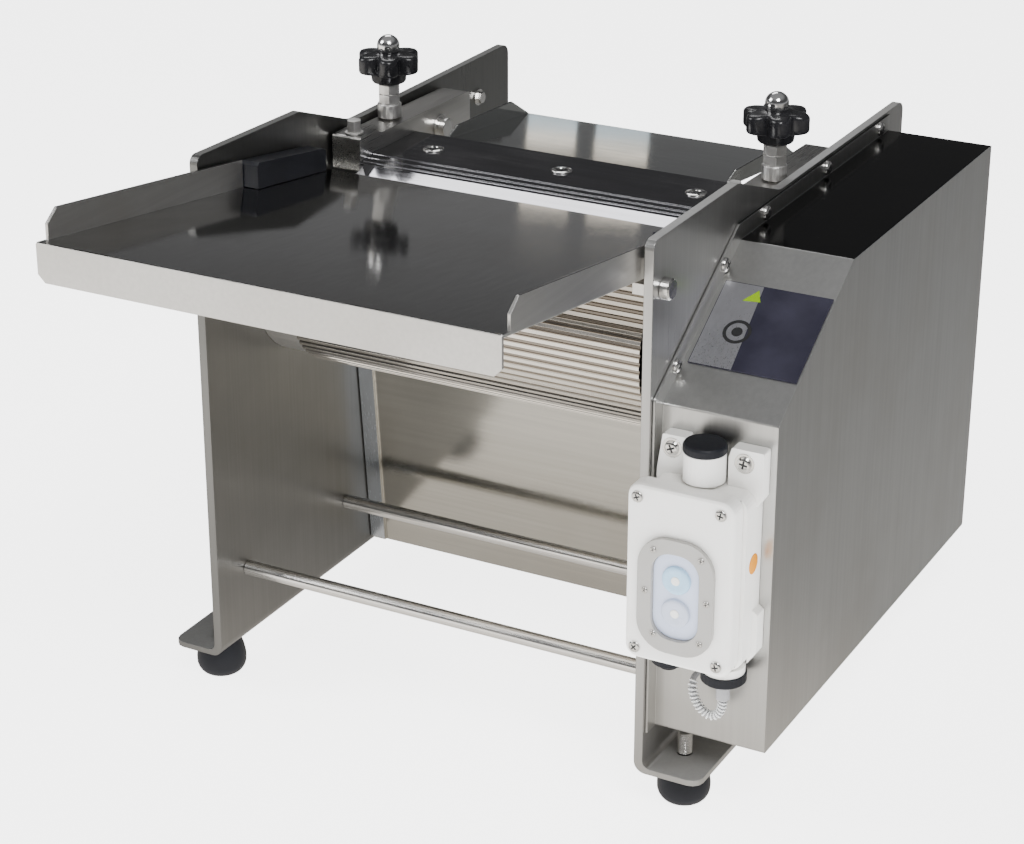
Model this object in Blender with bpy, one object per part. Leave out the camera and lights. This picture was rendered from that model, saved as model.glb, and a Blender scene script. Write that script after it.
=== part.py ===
"""Tabletop dough sheeter: fluted feed roller between two side plates, tilting scraper holder, drive box."""

import math

import bmesh
import bpy
from mathutils import Matrix, Vector

# Driving dimensions, millimetres (MM converts to metres). X is left to right, Y front to back, Z up.
MM = 0.001
GAP = 0.3
FLOOR = 33.5            # height of the side plates' datum above the table
PLATE_IN = 160.0        # half distance between the side plates
PLATE_T = 6.0
PLATE_H = 360.0
PLATE_STEP_H = 335.0
FOOT_X, FOOT_FRONT, FOOT_REAR = 182.2, 31.0, 398.0
PLATE_DEPTH = 424.0
FLANGE_LEFT, FLANGE_RIGHT = 41.0, 46.0
FLANGE_Z, FLANGE_T = -4.5, 4.0    # underside and thickness of the folded feet
ROLLER_Y, ROLLER_Z, ROLLER_R = 120.6, 252.0, 64.0
ROLLER_HALF = 131.0
FLUTES = 72
SHAFT_R = 12.5
GEAR_MODULE, GEAR_TEETH, PINION_TEETH = 2.5, 36, 14
PINION_ANGLE = math.radians(-25.0)
TRAY_HALF = 156.8
TRAY_FRONT_Y, TRAY_FRONT_Z = -171.0, 359.5
TRAY_REAR_Y, TRAY_REAR_Z = 136.0, 317.5
TRAY_T = 2.0
BLADE_Y, BLADE_Z = 141.0, 313.4
NOSE_HALF = 130.0
ARM_X, ARM_HALF = 146.4, 11.4
PIVOT_Y, PIVOT_Z = 271.0, 313.0
CHUTE_HALF = 110.0
KNOB_X, KNOB_Y, KNOB_Z = 149.0, 224.0, 357.0
ROD_R = 5.2
COVER_X = 244.5
COVER_FRONT, COVER_REAR = 14.5, 392.0
COVER_LOW, COVER_KNEE, COVER_TOP = 24.5, 251.0, 321.7
COVER_BREAK_Y = 127.5
COVER_T = 1.5
BOX_X0, BOX_X1, BOX_Z0, BOX_Z1 = 169.5, 236.5, 93.0, 211.0
LID_X0, LID_X1, LID_Z0, LID_Z1 = 162.0, 233.8, 92.5, 212.5
LID_FRONT = -22.0
BUTTON_X = 197.0
FIT = 0.08              # radial running clearance of shafts in their holes
BASE_SHIFT = (-21.75, -126.0, FLOOR)    # brings the centre of the footprint, on the table, to the origin


def clear_scene():
    for obj in list(bpy.data.objects):
        bpy.data.objects.remove(obj, do_unlink=True)


def material(name, colour, rough, metal):
    mat = bpy.data.materials.new(name)
    mat.use_nodes = True
    bsdf = mat.node_tree.nodes["Principled BSDF"]
    bsdf.inputs["Base Color"].default_value = (*colour, 1.0)
    bsdf.inputs["Roughness"].default_value = rough
    bsdf.inputs["Metallic"].default_value = metal
    return mat


def steel(name):
    return material(name, (0.62, 0.61, 0.59), 0.3, 1.0)


def polished(name):
    return material(name, (0.78, 0.78, 0.77), 0.15, 1.0)


def black_plastic(name):
    return material(name, (0.02, 0.02, 0.022), 0.3, 0.0)


def rubber(name):
    return material(name, (0.03, 0.03, 0.035), 0.7, 0.0)


def white_plastic(name):
    return material(name, (0.85, 0.84, 0.8), 0.4, 0.0)


def dark_metal(name):
    return material(name, (0.2, 0.2, 0.21), 0.5, 1.0)


def make(name, bm, mat, origin=(0.0, 0.0, 0.0), smooth=False):
    """Turns millimetre geometry in world position into an object whose origin is `origin`."""
    bmesh.ops.remove_doubles(bm, verts=bm.verts, dist=0.0001)
    bmesh.ops.recalc_face_normals(bm, faces=bm.faces)
    shift = Matrix.Translation(-Vector(origin))
    bmesh.ops.transform(bm, matrix=Matrix.Scale(MM, 4) @ shift, verts=bm.verts)
    mesh = bpy.data.meshes.new(name)
    bm.to_mesh(mesh)
    bm.free()
    for face in mesh.polygons:
        face.use_smooth = smooth
    obj = bpy.data.objects.new(name, mesh)
    obj.location = Vector(origin) * MM
    obj.data.materials.append(mat)
    bpy.context.scene.collection.objects.link(obj)
    if smooth:
        mesh.set_sharp_from_angle(angle=math.radians(35))
    return obj


def loft(loops, bm=None):
    """Skins closed loops of equal count and caps both ends."""
    bm = bm or bmesh.new()
    rows = [[bm.verts.new(p) for p in loop] for loop in loops]
    count = len(rows[0])
    for low, high in zip(rows, rows[1:]):
        for i in range(count):
            j = (i + 1) % count
            bm.faces.new((low[i], low[j], high[j], high[i]))
    bm.faces.new(rows[0])
    bm.faces.new(rows[-1])
    return bm


def tube(outer, inner, frame, low, high, bm=None):
    """Prism of a 2D outer loop with a 2D inner loop of the same count cut out."""
    bm = bm or bmesh.new()
    rows = [[bm.verts.new(frame(a, b, w)) for a, b in loop] for loop, w in
            ((outer, low), (outer, high), (inner, high), (inner, low))]
    count = len(outer)
    for k in range(4):
        now, nxt = rows[k], rows[(k + 1) % 4]
        for i in range(count):
            j = (i + 1) % count
            bm.faces.new((now[i], now[j], nxt[j], nxt[i]))
    return bm


def along_x(a, b, w):
    return (w, a, b)


def along_y(a, b, w):
    return (a, w, b)


def along_z(a, b, w):
    return (a, b, w)


def prism(points, frame, low, high, bm=None):
    return loft([[frame(a, b, w) for a, b in points] for w in (low, high)], bm)


def box(x0, x1, y0, y1, z0, z1, bm=None):
    return prism([(x0, y0), (x1, y0), (x1, y1), (x0, y1)], along_z, z0, z1, bm)


def circle(cx, cy, r, count=36, start=0.0):
    step = 2.0 * math.pi / count
    return [(cx + r * math.cos(start + i * step), cy + r * math.sin(start + i * step)) for i in range(count)]


def turned(cx, cy, steps, frame, count=36, bm=None):
    """Stack of circles: steps are (position along the axis, radius)."""
    return loft([[frame(a, b, w) for a, b in circle(cx, cy, r, count)] for w, r in steps], bm)


def rounded(points, radii, segments=5):
    """Rounds the corners of a 2D polygon."""
    out = []
    count = len(points)
    for i, (p, r) in enumerate(zip(points, radii)):
        p = Vector(p)
        if r <= 0.0:
            out.append(tuple(p))
            continue
        a = (Vector(points[i - 1]) - p).normalized()
        b = (Vector(points[(i + 1) % count]) - p).normalized()
        half = math.acos(max(-1.0, min(1.0, a.dot(b)))) / 2.0
        dist = r / math.tan(half)
        centre = p + (a + b).normalized() * (r / math.sin(half))
        start, end = p + a * dist - centre, p + b * dist - centre
        turn = math.atan2(start.x * end.y - start.y * end.x, start.dot(end))
        for k in range(segments + 1):
            c, s = math.cos(turn * k / segments), math.sin(turn * k / segments)
            out.append((centre.x + start.x * c - start.y * s, centre.y + start.x * s + start.y * c))
    return out


def round_box(x0, x1, z0, z1, radius, segments=6):
    corners = [(x0, z0), (x1, z0), (x1, z1), (x0, z1)]
    return rounded(corners, [radius] * 4, segments)


def combine(obj, other, operation):
    """Applies an exact Boolean with another object and removes that object."""
    mod = obj.modifiers.new("cut", "BOOLEAN")
    mod.operation = operation
    mod.solver = "EXACT"
    mod.object = other
    deps = bpy.context.evaluated_depsgraph_get()
    result = bpy.data.meshes.new_from_object(obj.evaluated_get(deps))
    obj.modifiers.remove(mod)
    old = obj.data
    obj.data = result
    bpy.data.meshes.remove(old)
    bpy.data.objects.remove(other, do_unlink=True)
    return obj


def scratch(bm):
    return make("scratch", bm, material("scratch", (0.5, 0.5, 0.5), 0.5, 0.0))


def join(obj, bm):
    return combine(obj, scratch(bm), "UNION")


def cut(obj, bm):
    return combine(obj, scratch(bm), "DIFFERENCE")


def bend(cx, cz, radius, sign, segments=6):
    """Quarter circle that runs from the inner face of a plate down to its underside."""
    points = []
    for k in range(segments + 1):
        turn = math.pi / 2 * k / segments
        points.append((cx - sign * radius * math.cos(turn), cz - radius * math.sin(turn)))
    return points


def side_plate(name, sign):
    """Upright web with a foot flange folded outwards, and the stop block welded inside it."""
    rise, reach = (3.0, FLANGE_LEFT) if sign < 0 else (0.0, FLANGE_RIGHT)
    inner, outer, tip = sign * PLATE_IN, sign * (PLATE_IN + PLATE_T), sign * (PLATE_IN + reach)
    top = FLANGE_Z + FLANGE_T
    section = [(inner, 380.0)] + bend(inner + sign * 8.0, FLANGE_Z + 8.0, 8.0, sign)
    section += [(tip, FLANGE_Z), (tip, top)] + bend(outer + sign * 5.0, top + 5.0, 5.0, sign, 4)[::-1]
    section += [(outer, 380.0)]
    obj = make(name, prism(section, along_y, -10.0, PLATE_DEPTH + 10.0), steel(name))
    web = [(0, -20), (PLATE_DEPTH, -20), (PLATE_DEPTH, PLATE_STEP_H), (194, PLATE_STEP_H), (124, PLATE_H),
           (0, PLATE_H + rise)]
    web = rounded(web, [0, 0, 8, 24, 14, 6])
    low, high = sorted((inner - sign * 10.0, tip + sign * 10.0))
    combine(obj, scratch(prism(web, along_x, low, high)), "INTERSECT")
    plan = [(inner - sign * 20.0, -5.0), (inner - sign * 20.0, PLATE_DEPTH + 5.0), (tip, PLATE_DEPTH + 5.0),
            (tip, 8.0), (tip - sign * 8.0, 0.0), (tip - sign * 8.0, -5.0)]
    plan[3:5] = [(tip, 8.0), (tip - sign * 1.1, 4.0), (tip - sign * 4.0, 1.1), (tip - sign * 8.0, 0.0)]
    combine(obj, scratch(prism(plan, along_z, -30.0, 390.0)), "INTERSECT")
    cut(obj, turned(ROLLER_Y, ROLLER_Z, [(inner - sign * 5, 21.0), (outer + sign * 5, 21.0)], along_x))
    join(obj, box(*sorted((sign * 140.0, inner + sign * 0.5)), 214.0, 234.0, 276.0, 293.0))
    for y in (FOOT_FRONT, FOOT_REAR):
        cut(obj, turned(sign * FOOT_X, y, [(-15, 5.08), (top + 5, 5.08)], along_z, 24))
    return obj


def feet():
    """Rubber pads moulded on a stud that screws into the tapped foot flange."""
    low = FLANGE_Z - GAP
    for row, y in (("front", FOOT_FRONT), ("rear", FOOT_REAR)):
        for side, sign in (("left", -1.0), ("right", 1.0)):
            steps = [(-FLOOR, 12.5), (-FLOOR + 1.0, 14.4), (-29.0, 16.8), (-25.0, 17.7), (-21.0, 17.7), (-14.0, 16.4),
                     (-9.0, 14.4), (low, 13.4), (low, 5.0), (14.5, 5.0), (15.5, 4.2)]
            name = f"foot_{row}_{side}"
            make(name, turned(sign * FOOT_X, y, steps, along_z, 28), rubber(name))


def cross_rods():
    reach = PLATE_IN - GAP
    for name, y, z in (("front_tie_rod", 36.5, 50.5), ("rear_tie_rod", 168.7, 46.4)):
        rod = turned(y, z, [(-reach, ROD_R), (reach, ROD_R)], along_x, 24)
        make(name, rod, steel(name), smooth=True)


def rear_panel():
    """Folded deflector behind the roller; its narrow upper part carries the outfeed chute."""
    t = 1.5
    low = [(205.5, 3.0), (192.3, 150.0), (190.0, 190.0), (190.0 - t, 190.0), (192.3 - t, 150.0), (205.5 - t, 3.0)]
    obj = make("rear_panel", prism(low, along_x, -159.4, 159.4), steel("rear_panel"))
    high = [(189.3, 182.0), (189.0, 190.0), (238.0, 314.2), (239.4, 313.8), (190.5, 189.6), (190.8, 182.0)]
    join(obj, prism(high, along_x, -128.0, 128.0))
    for sign in (-1.0, 1.0):
        edge = [(204.6, 3.0), (191.4, 150.0), (189.1, 188.0), (186.6, 188.0), (188.9, 150.0), (202.1, 3.0)]
        join(obj, prism(edge, along_x, sign * 147.0, sign * 159.4))
    return obj


def outfeed_chute():
    """Sloping sheet with low side walls that resumes where the scraper bar ends."""
    t, y0, y1 = 1.5, 238.8, 360.0
    floor_at = lambda y: 303.0 + (y1 - y) * 0.11
    sheet = [(y0, floor_at(y0)), (y1, floor_at(y1)), (y1, floor_at(y1) - t), (y0, floor_at(y0) - t)]
    obj = make("outfeed_chute", prism(sheet, along_x, -CHUTE_HALF, CHUTE_HALF), steel("outfeed_chute"))
    for sign in (-1.0, 1.0):
        wall = [(y0, floor_at(y0) - t), (y1, floor_at(y1) - t), (y1, floor_at(y1) + 0.5),
                (334.0, floor_at(334.0) + 13.0), (252.0, floor_at(252.0) + 8.0), (y0, floor_at(y0) + 1.0)]
        join(obj, prism(wall, along_x, sign * (CHUTE_HALF - t), sign * CHUTE_HALF))
    return obj


def tray_z(y):
    share = (y - TRAY_FRONT_Y) / (TRAY_REAR_Y - TRAY_FRONT_Y)
    return TRAY_FRONT_Z + share * (TRAY_REAR_Z - TRAY_FRONT_Z)


def infeed_tray():
    """Sloping sheet with two upturned sides and a front lip folded down."""
    y0, y1 = TRAY_FRONT_Y, TRAY_REAR_Y
    sheet = [(y0, tray_z(y0)), (y1, tray_z(y1)), (y1, tray_z(y1) - TRAY_T), (y0, tray_z(y0) - TRAY_T)]
    origin = (0.0, y0, TRAY_FRONT_Z)
    obj = make("infeed_tray", prism(sheet, along_x, -TRAY_HALF, TRAY_HALF), steel("infeed_tray"), origin)
    top, end = 19.0, 44.0
    for sign in (-1.0, 1.0):
        wall = [(y0 + 9.0, tray_z(y0 + 9) - TRAY_T * 0.5), (end, tray_z(end) - TRAY_T * 0.5),
                (end, tray_z(end) + top), (y0 + 19.0, tray_z(y0 + 19) + top), (y0 + 9.0, tray_z(y0 + 9) + top - 9.0)]
        join(obj, prism(wall, along_x, sign * (TRAY_HALF - TRAY_T), sign * TRAY_HALF))
    reach, drop = TRAY_HALF, 25.0
    lip = [(-reach + 5.0, -drop), (reach - 5.0, -drop), (reach, -drop + 5.0), (reach, -1.0),
           (reach - 1.0, 0.0), (-reach + 1.0, 0.0), (-reach, -1.0), (-reach, -drop + 5.0)]
    join(obj, prism([(a, b + TRAY_FRONT_Z) for a, b in lip], along_y, y0 - TRAY_T * 0.5, y0 + TRAY_T * 0.5))
    return obj


def tray_fittings():
    for side, sign in (("left", -1.0), ("right", 1.0)):
        y0, y1 = 45.0, 129.0
        profile = [(y0, tray_z(y0) + GAP), (y1, tray_z(y1) + GAP), (y1, tray_z(y1) + 15.0), (y1 - 3.0, tray_z(y1) + 17.0),
                   (y0 + 2.0, tray_z(y0) + 18.0), (y0, tray_z(y0) + 16.0)]
        guide = prism(profile, along_x, sign * 143.5, sign * 157.5)
        make(f"tray_guide_{side}", guide, black_plastic(f"tray_guide_{side}"), (0.0, TRAY_FRONT_Y, TRAY_FRONT_Z))
        body = box(*sorted((sign * (TRAY_HALF + GAP), sign * (PLATE_IN - GAP))), 7.0, 27.0, 322.0, 346.0)
        bracket = make(f"tray_bracket_{side}", body, polished(f"tray_bracket_{side}"))
        ledge = box(*sorted((sign * 149.0, sign * 158.0)), 7.0, 27.0, 322.0, 329.2)
        join(bracket, ledge)
        face = PLATE_IN + PLATE_T
        bolt = turned(14.6, 326.3, [(sign * (face + GAP), 7.0), (sign * (face + 5.6), 7.0), (sign * (face + 6.6), 6.0)],
                      along_x, 24)
        make(f"bracket_bolt_{side}", bolt, polished(f"bracket_bolt_{side}"), smooth=True)


def tooth_profile(cy, cz, module, teeth, phase):
    """Gear outline with straight-flanked approximations of involute teeth."""
    pitch = module * teeth / 2.0
    levels = ((pitch - 1.15 * module, 0.34), (pitch, 0.235), (pitch + 0.9 * module, 0.11))
    step = 2.0 * math.pi / teeth
    points = []
    for i in range(teeth):
        mid = phase + i * step
        flank = [(r, mid - half * step) for r, half in levels]
        flank += [(r, mid + half * step) for r, half in reversed(levels)]
        points += [(cy + r * math.cos(a), cz + r * math.sin(a)) for r, a in flank]
    return points


def matched_circle(outline, cy, cz, radius):
    out = []
    for a, b in outline:
        angle = math.atan2(b - cz, a - cy)
        out.append((cy + radius * math.cos(angle), cz + radius * math.sin(angle)))
    return out


def feed_roller():
    step = 2.0 * math.pi / FLUTES
    outline = []
    for i in range(FLUTES):
        for share, r in ((0.0, ROLLER_R), (0.42, ROLLER_R), (0.58, ROLLER_R - 1.5), (0.84, ROLLER_R - 1.5)):
            angle = (i + share) * step
            outline.append((ROLLER_Y + r * math.cos(angle), ROLLER_Z + r * math.sin(angle)))
    inner = matched_circle(outline, ROLLER_Y, ROLLER_Z, SHAFT_R + GAP)
    origin = (0.0, ROLLER_Y, ROLLER_Z)
    bm = tube(outline, inner, along_x, -ROLLER_HALF, ROLLER_HALF)
    make("feed_roller", bm, steel("feed_roller"), origin)
    shaft = turned(ROLLER_Y, ROLLER_Z, [(-171.0, 11.5), (-170.0, SHAFT_R), (188.0, SHAFT_R), (189.0, 11.5)], along_x)
    make("roller_shaft", shaft, steel("roller_shaft"), origin, smooth=True)
    gear = tooth_profile(ROLLER_Y, ROLLER_Z, GEAR_MODULE, GEAR_TEETH, PINION_ANGLE)
    bore = matched_circle(gear, ROLLER_Y, ROLLER_Z, SHAFT_R + GAP)
    make("roller_gear", tube(gear, bore, along_x, 174.0, 186.0), dark_metal("roller_gear"), origin)


def bearings():
    for side, sign in (("left", -1.0), ("right", 1.0)):
        inner = circle(ROLLER_Y, ROLLER_Z, SHAFT_R + FIT, 36)
        hub = circle(ROLLER_Y, ROLLER_Z, 20.6, 36)
        disc = circle(ROLLER_Y, ROLLER_Z, 61.0, 36)
        name = f"bearing_{side}"
        obj = make(name, tube(disc, inner, along_x, sign * (ROLLER_HALF + 2.0), sign * (PLATE_IN - GAP)), polished(name))
        join(obj, tube(hub, inner, along_x, sign * 152.0, sign * (PLATE_IN + PLATE_T - 0.5)))


def gear_motor():
    dist = GEAR_MODULE * (GEAR_TEETH + PINION_TEETH) / 2.0
    py = ROLLER_Y + dist * math.cos(PINION_ANGLE)
    pz = ROLLER_Z + dist * math.sin(PINION_ANGLE)
    phase = PINION_ANGLE + math.pi + math.pi / PINION_TEETH
    origin = (0.0, py, pz)
    gear = tooth_profile(py, pz, GEAR_MODULE, PINION_TEETH, phase)
    pinion = make("motor_pinion", prism(gear, along_x, 173.0, 187.0), dark_metal("motor_pinion"), origin)
    hub = turned(py, pz, [(170.0, 8.0), (192.7, 8.0)], along_x, 24)
    join(pinion, hub)
    case = [(py - 30, pz - 28), (py + 34, pz - 28), (py + 34, pz + 30), (py - 30, pz + 30)]
    obj = make("gear_motor", prism(rounded(case, [6, 6, 6, 6]), along_x, 193.0, 238.0), dark_metal("gear_motor"))
    steps = [(py + 30, 26.0), (py + 42, 26.0), (py + 42, 29.0), (py + 172, 29.0), (py + 172, 27.0), (py + 186, 27.0)]
    join(obj, turned(211.0, pz, [(w, r) for w, r in steps], lambda a, b, w: (a, w, b), 40))
    shelf_z = pz - 28 - GAP
    x0 = PLATE_IN + PLATE_T + GAP
    leg = [(x0, shelf_z - 26), (x0 + 4, shelf_z - 26), (x0 + 4, shelf_z - 4), (238.0, shelf_z - 4), (238.0, shelf_z),
           (x0, shelf_z)]
    make("motor_shelf", prism(leg, along_y, py - 30, py + 34), steel("motor_shelf"))


def arms():
    for side, sign in (("left", -1.0), ("right", 1.0)):
        origin = (0.0, PIVOT_Y, PIVOT_Z)
        x0, x1 = sorted((sign * (ARM_X - ARM_HALF), sign * (ARM_X + ARM_HALF)))
        profile = [(160, 309.5), (200, 306), (317, 289), (317, 328), (190, 331), (181, 334.5), (160, 334.5)]
        profile = rounded(profile, [2, 0, 3, 3, 0, 2, 2], 3)
        obj = make(f"{side}_arm", prism(profile, along_x, x0, x1), steel(f"{side}_arm"), origin)
        cut(obj, turned(PIVOT_Y, PIVOT_Z, [(x0 - 5, 6.0 + FIT), (x1 + 5, 6.0 + FIT)], along_x, 24))
        cut(obj, turned(sign * KNOB_X, KNOB_Y, [(280, 5.0 + FIT), (350, 5.0 + FIT)], along_z, 24))
        face = ARM_X - ARM_HALF - GAP
        pivot = turned(PIVOT_Y, PIVOT_Z, [(sign * (PLATE_IN - GAP), 6.0), (sign * face, 6.0), (sign * face, 9.0),
                                          (sign * (face - 1.4), 9.0), (sign * (face - 1.4), 7.0),
                                          (sign * (face - 7.0), 7.0)], along_x, 24)
        make(f"{side}_arm_pivot", pivot, polished(f"{side}_arm_pivot"), smooth=True)
        bolt_x = sign * (ARM_X - 2.0)
        hexagon = [(bolt_x + 5.2 * math.cos(k * math.pi / 3), 168 + 5.2 * math.sin(k * math.pi / 3)) for k in range(6)]
        bolt = make(f"{side}_arm_bolt", prism(hexagon, along_z, 335.4, 344.5), polished(f"{side}_arm_bolt"), origin)
        join(bolt, turned(bolt_x, 168, [(334.8, 6.6), (336.0, 6.6)], along_z, 24))


def blade_top(y):
    return BLADE_Z - 0.30 * (y - BLADE_Y)


def holder():
    """Scraper bar between the arms, the blade under it and the three screws that clamp it."""
    origin = (0.0, PIVOT_Y, PIVOT_Z)
    half = ARM_X - ARM_HALF - GAP
    bar = [(158.0, blade_top(158) + GAP), (176.0, blade_top(176) + GAP), (205, 302), (236, 312.6), (236, 318.6),
           (235.4, 319.2), (176.4, 319.2), (175.8, 318.6), (169.4, 318.4), (168.8, 317.8), (163.0, 317.7),
           (162.4, 317.2), (158, 317.1)]
    obj = make("blade_holder", prism(bar, along_x, -half, half), steel("blade_holder"), origin)
    nose = [(142.0, blade_top(142) + GAP), (160.0, blade_top(160) + GAP), (160.0, 317.1), (158.2, 317.1),
            (142.4, blade_top(142) + GAP + 0.1)]
    join(obj, prism(nose, along_x, -NOSE_HALF, NOSE_HALF))
    blade = [(BLADE_Y, BLADE_Z - 0.15), (BLADE_Y + 0.4, blade_top(BLADE_Y + 0.4)), (175.5, blade_top(175.5)),
             (175.5, blade_top(175.5) - 1.0), (BLADE_Y + 4.0, blade_top(BLADE_Y + 4.0) - 1.0)]
    make("blade", prism(blade, along_x, -NOSE_HALF, NOSE_HALF), polished("blade"), origin)
    for k, x in enumerate((-101.5, 0.0, 101.5)):
        cap = turned(x, 204.0, [(319.5, 7.4), (319.8, 7.4), (320.2, 6.8)], along_z, 24)
        make(f"holder_screw_{k + 1}", cap, polished(f"holder_screw_{k + 1}"), origin, smooth=True)


def star(cx, cy, radius, depth, lobes=6, count=60):
    points = []
    for i in range(count):
        angle = 2.0 * math.pi * i / count
        wave = 0.5 + 0.5 * math.cos(lobes * angle)
        points.append((cx + (radius - depth * (1.0 - wave ** 0.55)) * math.cos(angle),
                       cy + (radius - depth * (1.0 - wave ** 0.55)) * math.sin(angle)))
    return points


def knobs():
    for side, sign in (("left", -1.0), ("right", 1.0)):
        x, y, z = sign * KNOB_X, KNOB_Y, KNOB_Z
        origin = (x, y, z)
        levels = ((0.0, 11.0, 0.0), (1.0, 12.2, 0.0), (6.5, 13.2, 0.2), (8.0, 21.2, 6.4), (9.2, 23.5, 8.0),
                  (19.6, 23.5, 8.0), (21.2, 22.2, 7.6), (21.6, 12.6, 0.0), (22.4, 9.4, 0.0))
        knob = loft([[(a, b, z + w) for a, b in star(x, y, r, d)] for w, r, d in levels])
        make(f"{side}_knob", knob, black_plastic(f"{side}_knob"), origin)
        dome = [(22.7, 7.6), (23.4, 8.0), (27.0, 8.0)]
        dome += [(27.0 + 7.6 * math.sin(t), 8.0 * math.cos(t)) for t in (0.25, 0.5, 0.8, 1.1, 1.35)]
        cap = turned(x, y, [(z + w, r) for w, r in dome], along_z, 24)
        make(f"{side}_knob_cap", cap, polished(f"{side}_knob_cap"), origin, smooth=True)
        spindle = turned(x, y, [(293.6, 4.0), (294.6, 5.0), (z - GAP, 5.0)], along_z, 24)
        make(f"{side}_spindle", spindle, polished(f"{side}_spindle"), origin, smooth=True)
        boss = [(331.9, 8.6), (341.0, 8.6), (341.8, 7.8)]
        outer = [[(a, b, w) for a, b in circle(x, y, r, 24)] for w, r in boss]
        obj = make(f"{side}_boss", loft(outer), polished(f"{side}_boss"), (0.0, PIVOT_Y, PIVOT_Z), smooth=True)
        for low, high in ((342.4, 348.4), (349.2, 355.6)):
            nut = [(x + 8.4 * math.cos(k * math.pi / 3), y + 8.4 * math.sin(k * math.pi / 3)) for k in range(6)]
            join(obj, prism(nut, along_z, low, high))
        join(obj, turned(x, y, [(341.0, 6.8), (356.0, 6.8)], along_z, 24))
        cut(obj, turned(x, y, [(325.0, 5.0 + FIT), (360.0, 5.0 + FIT)], along_z, 24))


def cover_outline(grow):
    """Section of the drive box in Y and Z, grown outwards by `grow`."""
    slope = math.atan2(COVER_TOP - COVER_KNEE, COVER_BREAK_Y - COVER_FRONT)
    knee = grow * math.tan((math.pi / 2 - slope) / 2)
    brow = grow * math.tan(slope / 2)
    return [(COVER_FRONT - grow, COVER_LOW - grow), (COVER_REAR + grow, COVER_LOW - grow),
            (COVER_REAR + grow, COVER_TOP + grow), (COVER_BREAK_Y - brow, COVER_TOP + grow),
            (COVER_FRONT - grow, COVER_KNEE + knee)]


def drive_cover():
    x0 = PLATE_IN + PLATE_T + GAP
    outer = rounded(cover_outline(0.0), [1.5] * 5, 3)
    inner = rounded(cover_outline(-COVER_T), [0.6] * 5, 3)
    obj = make("drive_cover", prism(outer, along_x, x0, COVER_X), steel("drive_cover"))
    cut(obj, prism(inner, along_x, x0 - 5.0, COVER_X - COVER_T))
    rim = rounded(cover_outline(11.5), [3.0] * 5, 3)
    hole = rounded(cover_outline(-0.6), [0.6] * 5, 3)
    join(obj, tube(rim, hole, along_x, x0, x0 + COVER_T))
    cut(obj, box(x0 - 2, COVER_X + 2, COVER_REAR + 0.01, COVER_REAR + 30, 0.0, 400.0))
    cut(obj, box(x0 - 2, COVER_X + 2, -30, 500, -10.0, COVER_LOW - 0.01))
    x = x0 + COVER_T + GAP
    spots = [(166.3, 328.0), (271.5, 328.0), (371.9, 328.0), (102.0, 313.0)]
    for k, (y, z) in enumerate(spots):
        head = turned(y, z, [(x, 5.0), (x + 1.5, 4.9), (x + 3.0, 3.4)], along_x, 24)
        make(f"cover_screw_{k + 1}", head, polished(f"cover_screw_{k + 1}"), smooth=True)


def label_plate():
    start, end = Vector((COVER_FRONT, COVER_KNEE)), Vector((COVER_BREAK_Y, COVER_TOP))
    run = (end - start).normalized()
    out = Vector((-run.y, run.x))
    corners = [start + run * a + out * b for a, b in ((33, GAP), (99.5, GAP), (99.5, 0.9), (33, 0.9))]
    make("label_plate", prism([tuple(c) for c in corners], along_x, 171.0, 243.4),
         material("label_plate", (0.12, 0.12, 0.16), 0.4, 0.2))


def switch_box():
    body = [round_box(BOX_X0 + i, BOX_X1 - i, BOX_Z0 + i, BOX_Z1 - i, 9.0 - i) for i in (0.0, 0.0)]
    rear = COVER_FRONT - GAP
    loops = [[(a, w, b) for a, b in loop] for loop, w in zip(body, (LID_FRONT + 12.7, rear))]
    obj = make("switch_box", loft(loops), white_plastic("switch_box"))
    ears = ([(169.5, 200), (189, 200), (189, 236.5), (173, 236.5), (169.5, 212)],
            [(217, 200), (236.5, 200), (240.2, 206), (240.2, 236.5), (219, 236.5), (217, 230)],
            [(234, 92), (240.2, 101), (240.2, 127.5), (234, 132)])
    for ear in ears:
        join(obj, prism(rounded(ear, [0] + [1.5] * (len(ear) - 1), 3), along_y, 4.0, rear))
    join(obj, turned(203.0, 0.4, [(205.0, 9.4), (213.0, 9.4), (214.0, 13.3), (232.2, 13.3)], along_z, 28))
    join(obj, turned(221.0, -0.6, [(86.8, 13.4), (92.2, 13.4), (92.2, 8.0), (96.0, 8.0)], along_z, 28))
    plug = turned(203.0, 0.4, [(232.5, 13.3), (233.2, 13.8), (236.8, 13.8), (238.2, 12.8)], along_z, 28)
    make("conduit_plug", plug, rubber("conduit_plug"), smooth=True)
    insets = ((LID_FRONT + 12.4, 0.0), (LID_FRONT + 2.5, 0.0), (LID_FRONT + 0.7, 0.8), (LID_FRONT, 2.4))
    lid = loft([[(a, w, b) for a, b in round_box(LID_X0 + i, LID_X1 - i, LID_Z0 + i, LID_Z1 - i, 9.0 - i)]
                for w, i in insets])
    lid_obj = make("switch_lid", lid, white_plastic("switch_lid"))
    ring_loop = round_box(171.5, 222.5, 103.0, 181.0, 20.0, 8)
    hole_loop = round_box(181.0, 213.0, 112.5, 171.5, 13.5, 8)
    front = LID_FRONT - GAP
    make("switch_ring", tube(ring_loop, hole_loop, along_y, front - 3.0, front),
         material("switch_ring", (0.5, 0.5, 0.5), 0.4, 0.3))
    for name, z in (("on_button", 153.5), ("off_button", 131.0)):
        well = turned(BUTTON_X, z, [(LID_FRONT - 5.0, 10.0), (LID_FRONT + 5.0, 10.0)], along_y, 32)
        cut(lid_obj, well)
        origin = (BUTTON_X, LID_FRONT, z)
        steps = [(LID_FRONT + 1.0, 9.6), (LID_FRONT - 1.2, 9.6), (LID_FRONT - 2.4, 8.8), (LID_FRONT - 2.8, 7.0)]
        make(name, turned(BUTTON_X, z, steps, along_y, 32), material(name, (0.6, 0.7, 0.8), 0.3, 0.0), origin,
             smooth=True)


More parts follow.
